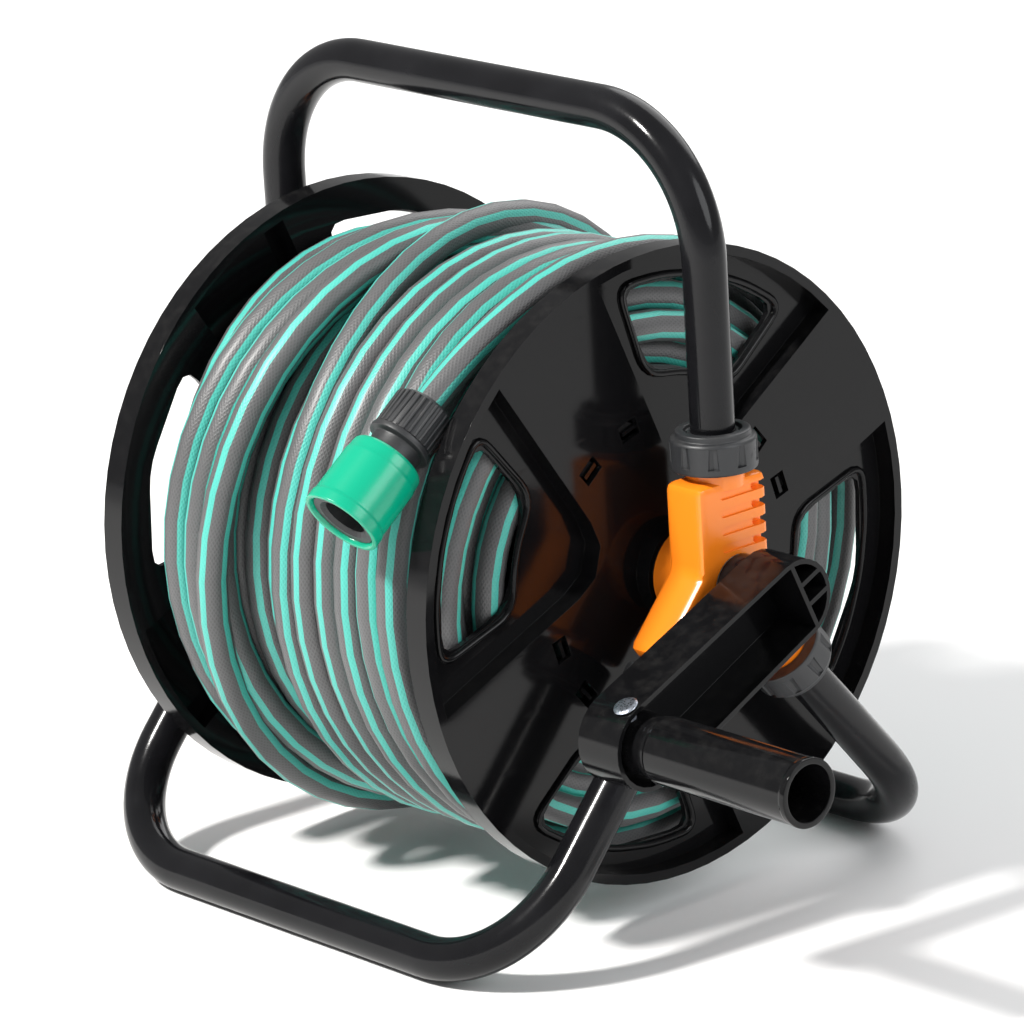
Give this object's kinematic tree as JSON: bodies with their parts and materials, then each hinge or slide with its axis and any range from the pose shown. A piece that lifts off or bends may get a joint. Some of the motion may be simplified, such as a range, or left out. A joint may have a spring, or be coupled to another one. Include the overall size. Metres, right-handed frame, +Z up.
{
  "type": "hose reel",
  "caption": "Portable garden hose reel: grey striped hose wound on a black drum, folding crank, orange hub brackets, black tube frame with a carry handle",
  "frame": {"origin": "on the ground under the middle of the reel, crank and inlet together", "axes": "+X along the drum's axis towards the crank, -Y to the front where the connector hangs, +Z up"},
  "size_m": [0.5208, 0.3516, 0.415],
  "materials": {
    "painted_tube": "gloss black paint on steel tube",
    "orange_plastic": "satin orange moulded plastic",
    "collar_plastic": "fine matt black moulded plastic",
    "black_plastic": "glossy black moulded plastic",
    "ring_plastic": "natural bearing plastic",
    "steel": "zinc-plated steel",
    "seal_rubber": "black rubber",
    "hose_grey": "soft grey PVC with turquoise stripes",
    "green_plastic": "glossy green moulded plastic"
  },
  "bodies": {
    "frame": {"handle_tube": "painted_tube", "front_foot_tube": "painted_tube", "rear_foot_tube": "painted_tube", "right_bracket": "orange_plastic", "left_bracket": "orange_plastic", "right_handle_collar_nut": "collar_plastic", "right_front_collar_nut": "collar_plastic", "right_rear_collar_nut": "collar_plastic", "left_handle_collar_nut": "collar_plastic", "left_front_collar_nut": "collar_plastic", "left_rear_collar_nut": "collar_plastic", "right_handle_clamp_ring": "collar_plastic", "right_front_clamp_ring": "collar_plastic", "right_rear_clamp_ring": "collar_plastic", "left_handle_clamp_ring": "collar_plastic", "left_front_clamp_ring": "collar_plastic", "left_rear_clamp_ring": "collar_plastic", "right_bush": "ring_plastic", "left_bush": "ring_plastic", "inlet_nipple": "black_plastic", "inlet_screw_lower": "steel", "inlet_screw_upper": "steel", "inlet_seal": "seal_rubber"},
    "drum": {"right_flange": "black_plastic", "left_flange": "black_plastic", "drum_core": "black_plastic", "crank_arm": "black_plastic", "crank_screw": "steel", "crank_washer": "steel", "grip_pin": "steel", "drum_elbow": "black_plastic", "hose_coil": "hose_grey", "hose_tail": "hose_grey", "connector_nut": "collar_plastic", "connector_body": "collar_plastic", "connector_lock_ring": "collar_plastic", "connector_seal": "seal_rubber"},
    "grip": {"crank_grip": "black_plastic"},
    "sleeve": {"connector_sleeve": "green_plastic"}
  },
  "joints": [
    {"name": "drum_turn", "type": "hinge", "parent": "frame", "child": "drum", "pos_m": [-0.0574, 0, 0.1777], "axis": [1, 0, 0], "continuous": true},
    {"name": "grip_fold", "type": "hinge", "parent": "drum", "child": "grip", "pos_m": [0.1484, -0.10047, 0.1317], "axis": [0, -0.4163, 0.9092], "range_deg": [0, 90]},
    {"name": "sleeve_slide", "type": "slide", "parent": "drum", "child": "sleeve", "axis": [0, 0.8, 0.6], "range_m": [0, 0.004], "stiffness_N_per_m": 600, "springref_m": -0.004}
  ]
}
